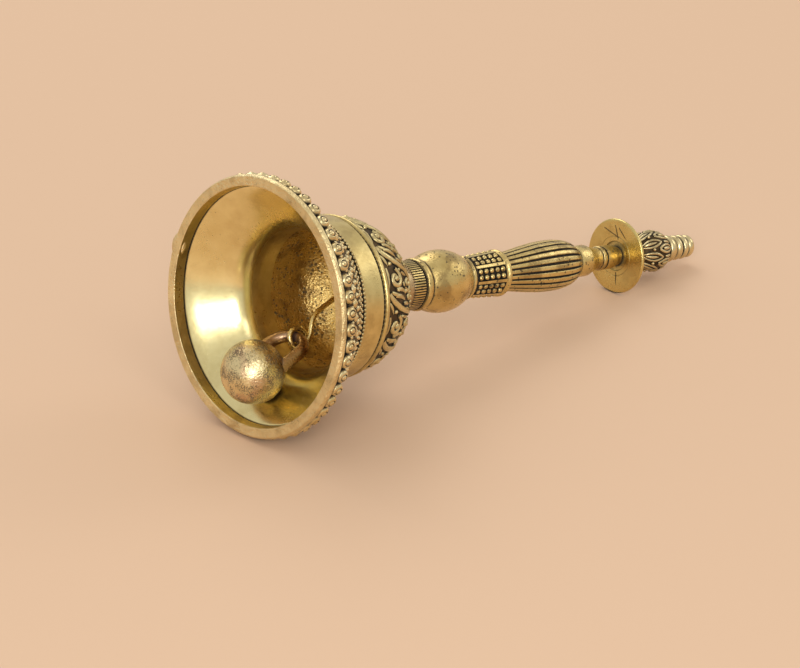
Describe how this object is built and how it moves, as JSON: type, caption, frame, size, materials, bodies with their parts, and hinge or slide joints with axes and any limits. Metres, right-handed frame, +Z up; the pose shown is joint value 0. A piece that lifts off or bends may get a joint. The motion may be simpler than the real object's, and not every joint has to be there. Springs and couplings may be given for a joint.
{
  "type": "hand bell",
  "caption": "Cast brass hand bell with a beaded, carved cup, a turned and fluted handle with a disc and bud finial, and a ball clapper on a wire hook.",
  "frame": {"origin": "on the table under the middle of the bell's bounding box, with the bell lying on its side", "axes": "+Z up, +X from the mouth towards the finial (the bell's axis dips 10.4 degrees below +X), Y across; the XZ plane is the plane in which the clapper swings"},
  "size_m": [0.1816, 0.0736, 0.0724],
  "materials": {
    "cup_brass": "satin cast brass with black-brown patina in the recesses",
    "staple_brass": "dark cast brass",
    "rod_brass": "plain drawn brass",
    "handle_brass": "satin brass with black patina in the flutes and between the beads",
    "disc_brass": "brushed brass plate with a bright bevelled edge",
    "finial_brass": "polished highs over black patina",
    "wire_brass": "dull drawn brass wire",
    "loop_bronze": "reddish brown cast bronze with polished highs",
    "ball_brass": "speckled, pitted brass with coppery patches"
  },
  "bodies": {
    "bell": {"bell_cup": "cup_brass", "crown_eye": "staple_brass", "tie_rod": "rod_brass", "neck_collar": "handle_brass", "handle_bulb": "handle_brass", "bead_sleeve": "handle_brass", "fluted_grip": "handle_brass", "handle_stem": "handle_brass", "disc_plate": "disc_brass", "finial_bud": "finial_brass", "finial_tip": "finial_brass"},
    "hanger": {"hanger_hook": "wire_brass"},
    "clapper": {"clapper_loop": "loop_bronze", "clapper_ball": "ball_brass"}
  },
  "joints": [
    {"name": "hanger_swing", "type": "hinge", "parent": "bell", "child": "hanger", "pos_m": [-0.04349, 0, 0.02981], "axis": [0, 1, 0], "range_deg": [0, 46]},
    {"name": "clapper_swing", "type": "hinge", "parent": "hanger", "child": "clapper", "pos_m": [-0.06538, 0, 0.02276], "axis": [0, 1, 0], "range_deg": [0, 25]}
  ]
}
